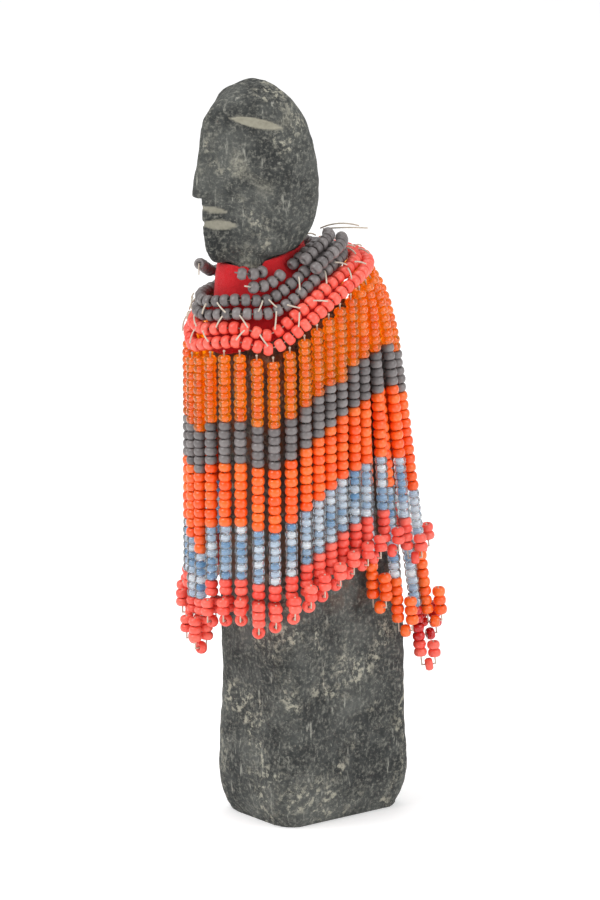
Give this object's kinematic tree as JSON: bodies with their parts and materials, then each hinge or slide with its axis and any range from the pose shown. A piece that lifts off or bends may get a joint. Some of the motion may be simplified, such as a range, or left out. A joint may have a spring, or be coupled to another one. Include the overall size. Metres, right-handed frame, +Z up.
{
  "type": "carved stone doll with beaded cape",
  "caption": "Carved stone figure with a cloth collar and a laced seed-bead cape whose fringe strands swing.",
  "frame": {"origin": "centre of the flat base", "axes": "+Z up, the doll faces -Y, its left side is +X"},
  "size_m": [0.0482, 0.0628, 0.1782],
  "materials": {
    "stone": "matt carved dark grey stone",
    "cloth": "red felted wool",
    "coral_beads": "opaque satin glass beads",
    "grey_beads": "opaque satin glass beads",
    "thread": "cream cotton thread",
    "fringe_beads": "glass seed beads in amber, grey, orange, blue-lined and coral bands"
  },
  "bodies": {
    "figure": {"stone_figure": "stone"},
    "cape": {"neck_cloth": "cloth", "coral_rows": "coral_beads", "grey_rows": "grey_beads", "broken_grey_row": "grey_beads", "row_threads": "thread", "lacing_stitches": "thread", "nape_bunch": "grey_beads", "nape_threads": "thread", "under_strand_04": "fringe_beads", "under_strand_05": "fringe_beads", "under_strand_06": "fringe_beads", "under_strand_07": "fringe_beads"},
    "flap": {"loose_flap": "grey_beads"},
    "strand_01": {"strand_01": "fringe_beads"},
    "strand_02": {"strand_02": "fringe_beads"},
    "strand_03": {"strand_03": "fringe_beads"},
    "strand_04": {"strand_04": "fringe_beads"},
    "strand_05": {"strand_05": "fringe_beads"},
    "strand_06": {"strand_06": "fringe_beads"},
    "strand_07": {"strand_07": "fringe_beads"},
    "strand_08": {"strand_08": "fringe_beads"},
    "strand_09": {"strand_09": "fringe_beads"},
    "strand_10": {"strand_10": "fringe_beads"},
    "strand_11": {"strand_11": "fringe_beads"},
    "strand_12": {"strand_12": "fringe_beads"},
    "strand_13": {"strand_13": "fringe_beads"},
    "strand_14": {"strand_14": "fringe_beads"},
    "strand_15": {"strand_15": "fringe_beads"},
    "strand_16": {"strand_16": "fringe_beads"},
    "strand_17": {"strand_17": "fringe_beads"},
    "strand_18": {"strand_18": "fringe_beads"},
    "strand_19": {"strand_19": "fringe_beads"},
    "strand_20": {"strand_20": "fringe_beads"},
    "strand_21": {"strand_21": "fringe_beads"},
    "strand_22": {"strand_22": "fringe_beads"},
    "strand_23": {"strand_23": "fringe_beads"},
    "strand_24": {"strand_24": "fringe_beads"},
    "strand_25": {"strand_25": "fringe_beads"},
    "strand_26": {"strand_26": "fringe_beads"},
    "strand_27": {"strand_27": "fringe_beads"},
    "strand_28": {"strand_28": "fringe_beads"},
    "strand_29": {"strand_29": "fringe_beads"},
    "strand_30": {"strand_30": "fringe_beads"},
    "strand_31": {"strand_31": "fringe_beads"},
    "strand_32": {"strand_32": "fringe_beads"},
    "strand_33": {"strand_33": "fringe_beads"},
    "strand_34": {"strand_34": "fringe_beads"}
  },
  "joints": [
    {"name": "cape_turn", "type": "hinge", "parent": "figure", "child": "cape", "pos_m": [-0.0022, -0.0115, 0.128], "axis": [0, 0, 1], "range_deg": [-1, 1]},
    {"name": "flap_lift", "type": "hinge", "parent": "cape", "child": "flap", "pos_m": [0.00729, -0.0158, 0.13555], "axis": [-0.7166, -0.3422, 0.6078], "range_deg": [0, 40]},
    {"name": "swing_01", "type": "hinge", "parent": "cape", "child": "strand_01", "pos_m": [0.01705, -0.0088, 0.12488], "axis": [0, -1, 0], "range_deg": [0, 45]},
    {"name": "swing_02", "type": "hinge", "parent": "cape", "child": "strand_02", "pos_m": [0.01682, -0.00532, 0.12675], "axis": [0.132, -0.9912, 0], "range_deg": [0, 45]},
    {"name": "swing_03", "type": "hinge", "parent": "cape", "child": "strand_03", "pos_m": [0.01603, -0.00155, 0.12825], "axis": [0.2781, -0.9605, 0], "range_deg": [0, 45]},
    {"name": "swing_04", "type": "hinge", "parent": "cape", "child": "strand_04", "pos_m": [0.0147, 0.00199, 0.1292], "axis": [0.4225, -0.9064, 0], "range_deg": [0, 45]},
    {"name": "swing_05", "type": "hinge", "parent": "cape", "child": "strand_05", "pos_m": [0.01277, 0.00536, 0.12978], "axis": [0.5697, -0.8219, 0], "range_deg": [0, 45]},
    {"name": "swing_06", "type": "hinge", "parent": "cape", "child": "strand_06", "pos_m": [0.01023, 0.00839, 0.13012], "axis": [0.7141, -0.7, 0], "range_deg": [0, 45]},
    {"name": "swing_07", "type": "hinge", "parent": "cape", "child": "strand_07", "pos_m": [0.0071, 0.01088, 0.1303], "axis": [0.8452, -0.5344, 0], "range_deg": [0, 45]},
    {"name": "swing_08", "type": "hinge", "parent": "cape", "child": "strand_08", "pos_m": [0.00345, 0.01263, 0.13039], "axis": [0.9465, -0.3227, 0], "range_deg": [0, 45]},
    {"name": "swing_09", "type": "hinge", "parent": "cape", "child": "strand_09", "pos_m": [-0.00044, 0.01345, 0.1304], "axis": [0.9966, -0.0829, 0], "range_deg": [0, 45]},
    {"name": "swing_10", "type": "hinge", "parent": "cape", "child": "strand_10", "pos_m": [-0.00437, 0.01328, 0.13034], "axis": [0.9863, 0.1648, 0], "range_deg": [0, 45]},
    {"name": "swing_11", "type": "hinge", "parent": "cape", "child": "strand_11", "pos_m": [-0.0082, 0.01215, 0.13019], "axis": [0.9177, 0.3972, 0], "range_deg": [0, 45]},
    {"name": "swing_12", "type": "hinge", "parent": "cape", "child": "strand_12", "pos_m": [-0.01159, 0.0102, 0.1299], "axis": [0.8082, 0.5889, 0], "range_deg": [0, 45]},
    {"name": "swing_13", "type": "hinge", "parent": "cape", "child": "strand_13", "pos_m": [-0.01459, 0.00749, 0.12934], "axis": [0.6697, 0.7426, 0], "range_deg": [0, 45]},
    {"name": "swing_14", "type": "hinge", "parent": "cape", "child": "strand_14", "pos_m": [-0.01688, 0.00445, 0.12842], "axis": [0.5283, 0.849, 0], "range_deg": [0, 45]},
    {"name": "swing_15", "type": "hinge", "parent": "cape", "child": "strand_15", "pos_m": [-0.01858, 0.00113, 0.12701], "axis": [0.3867, 0.9222, 0], "range_deg": [0, 45]},
    {"name": "swing_16", "type": "hinge", "parent": "cape", "child": "strand_16", "pos_m": [-0.01968, -0.00211, 0.12522], "axis": [0.2563, 0.9666, 0], "range_deg": [0, 45]},
    {"name": "swing_17", "type": "hinge", "parent": "cape", "child": "strand_17", "pos_m": [-0.02034, -0.00551, 0.12307], "axis": [0.1247, 0.9922, 0], "range_deg": [0, 45]},
    {"name": "swing_18", "type": "hinge", "parent": "cape", "child": "strand_18", "pos_m": [-0.02055, -0.0088, 0.12102], "axis": [0, 1, 0], "range_deg": [0, 45]},
    {"name": "swing_19", "type": "hinge", "parent": "cape", "child": "strand_19", "pos_m": [-0.02032, -0.01228, 0.11915], "axis": [-0.132, 0.9912, 0], "range_deg": [0, 45]},
    {"name": "swing_20", "type": "hinge", "parent": "cape", "child": "strand_20", "pos_m": [-0.01958, -0.01586, 0.11771], "axis": [-0.2708, 0.9626, 0], "range_deg": [0, 45]},
    {"name": "swing_21", "type": "hinge", "parent": "cape", "child": "strand_21", "pos_m": [-0.01828, -0.01942, 0.11674], "axis": [-0.4153, 0.9097, 0], "range_deg": [0, 45]},
    {"name": "swing_22", "type": "hinge", "parent": "cape", "child": "strand_22", "pos_m": [-0.01627, -0.02296, 0.11611], "axis": [-0.5697, 0.8219, 0], "range_deg": [0, 45]},
    {"name": "swing_23", "type": "hinge", "parent": "cape", "child": "strand_23", "pos_m": [-0.01373, -0.02599, 0.11568], "axis": [-0.7141, 0.7, 0], "range_deg": [0, 45]},
    {"name": "swing_24", "type": "hinge", "parent": "cape", "child": "strand_24", "pos_m": [-0.01074, -0.02839, 0.11488], "axis": [-0.8401, 0.5424, 0], "range_deg": [0, 45]},
    {"name": "swing_25", "type": "hinge", "parent": "cape", "child": "strand_25", "pos_m": [-0.0071, -0.03018, 0.11394], "axis": [-0.9432, 0.3322, 0], "range_deg": [0, 45]},
    {"name": "swing_26", "type": "hinge", "parent": "cape", "child": "strand_26", "pos_m": [-0.00323, -0.03103, 0.11482], "axis": [-0.9956, 0.0932, 0], "range_deg": [0, 45]},
    {"name": "swing_27", "type": "hinge", "parent": "cape", "child": "strand_27", "pos_m": [0.00071, -0.03091, 0.11599], "axis": [-0.988, -0.1547, 0], "range_deg": [0, 45]},
    {"name": "swing_28", "type": "hinge", "parent": "cape", "child": "strand_28", "pos_m": [0.00454, -0.02982, 0.11689], "axis": [-0.9216, -0.3881, 0], "range_deg": [0, 45]},
    {"name": "swing_29", "type": "hinge", "parent": "cape", "child": "strand_29", "pos_m": [0.00795, -0.0279, 0.11733], "axis": [-0.8136, -0.5814, 0], "range_deg": [0, 45]},
    {"name": "swing_30", "type": "hinge", "parent": "cape", "child": "strand_30", "pos_m": [0.01097, -0.02522, 0.11644], "axis": [-0.6761, -0.7368, 0], "range_deg": [0, 45]},
    {"name": "swing_31", "type": "hinge", "parent": "cape", "child": "strand_31", "pos_m": [0.01328, -0.0222, 0.11593], "axis": [-0.5353, -0.8447, 0], "range_deg": [0, 45]},
    {"name": "swing_32", "type": "hinge", "parent": "cape", "child": "strand_32", "pos_m": [0.01508, -0.01873, 0.11812], "axis": [-0.3867, -0.9222, 0], "range_deg": [0, 45]},
    {"name": "swing_33", "type": "hinge", "parent": "cape", "child": "strand_33", "pos_m": [0.01623, -0.01531, 0.12068], "axis": [-0.249, -0.9685, 0], "range_deg": [0, 45]},
    {"name": "swing_34", "type": "hinge", "parent": "cape", "child": "strand_34", "pos_m": [0.01684, -0.01209, 0.12282], "axis": [-0.1247, -0.9922, 0], "range_deg": [0, 45]}
  ]
}
